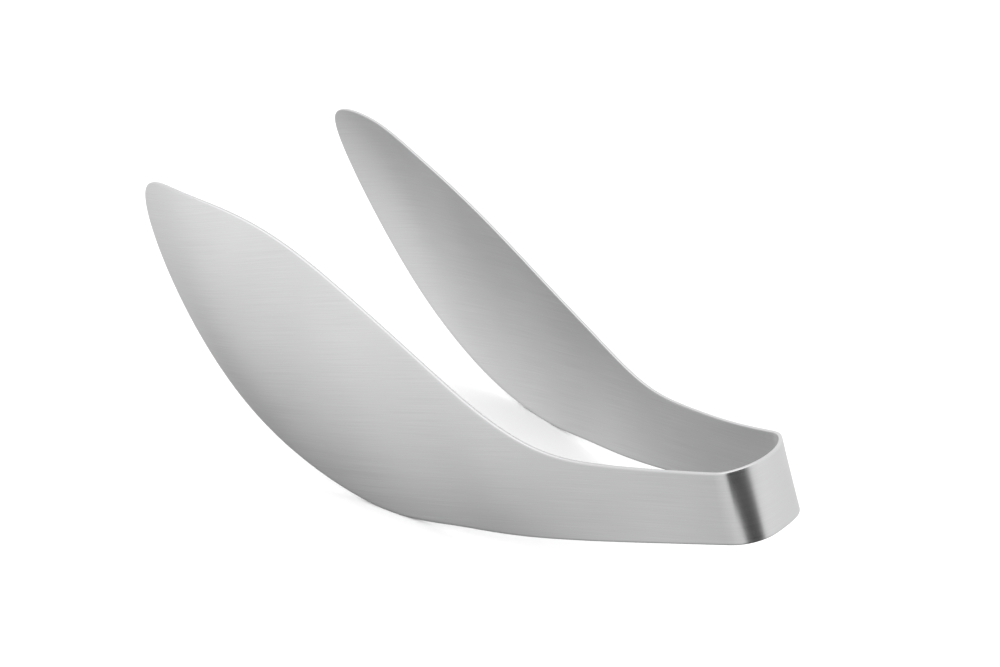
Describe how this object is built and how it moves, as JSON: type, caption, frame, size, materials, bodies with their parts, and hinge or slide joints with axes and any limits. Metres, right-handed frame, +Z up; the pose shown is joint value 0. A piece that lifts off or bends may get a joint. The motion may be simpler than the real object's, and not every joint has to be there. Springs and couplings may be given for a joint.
{
  "type": "serving tongs",
  "caption": "One-piece sheet-steel serving tongs: a folded springy bow, two flat shanks and two curved, dished leaf-shaped blades that close on food.",
  "frame": {"origin": "middle of the length and width, at the table that the tongs rest on", "axes": "+X from the bow towards the tips, +Y towards the left blade, +Z up"},
  "size_m": [0.2774, 0.1204, 0.1085],
  "materials": {
    "steel": "brushed along the strip"
  },
  "bodies": {
    "bow": {"bow_web": "steel"},
    "left_arm": {"left_bend": "steel", "left_shank": "steel", "left_blade": "steel"},
    "right_arm": {"right_bend": "steel", "right_shank": "steel", "right_blade": "steel"}
  },
  "joints": [
    {"name": "left_arm_flex", "type": "hinge", "parent": "bow", "child": "left_arm", "pos_m": [-0.12604, 0.012, 0.04714], "axis": [-0.2563, 0, -0.9666], "range_deg": [-3, 12.1], "stiffness_Nm_per_rad": 12, "deforming": ["left_bend"]},
    {"name": "right_arm_flex", "type": "hinge", "parent": "bow", "child": "right_arm", "pos_m": [-0.12604, -0.012, 0.04714], "axis": [0.2563, 0, 0.9666], "range_deg": [-3, 12.1], "stiffness_Nm_per_rad": 12, "deforming": ["right_bend"]}
  ]
}
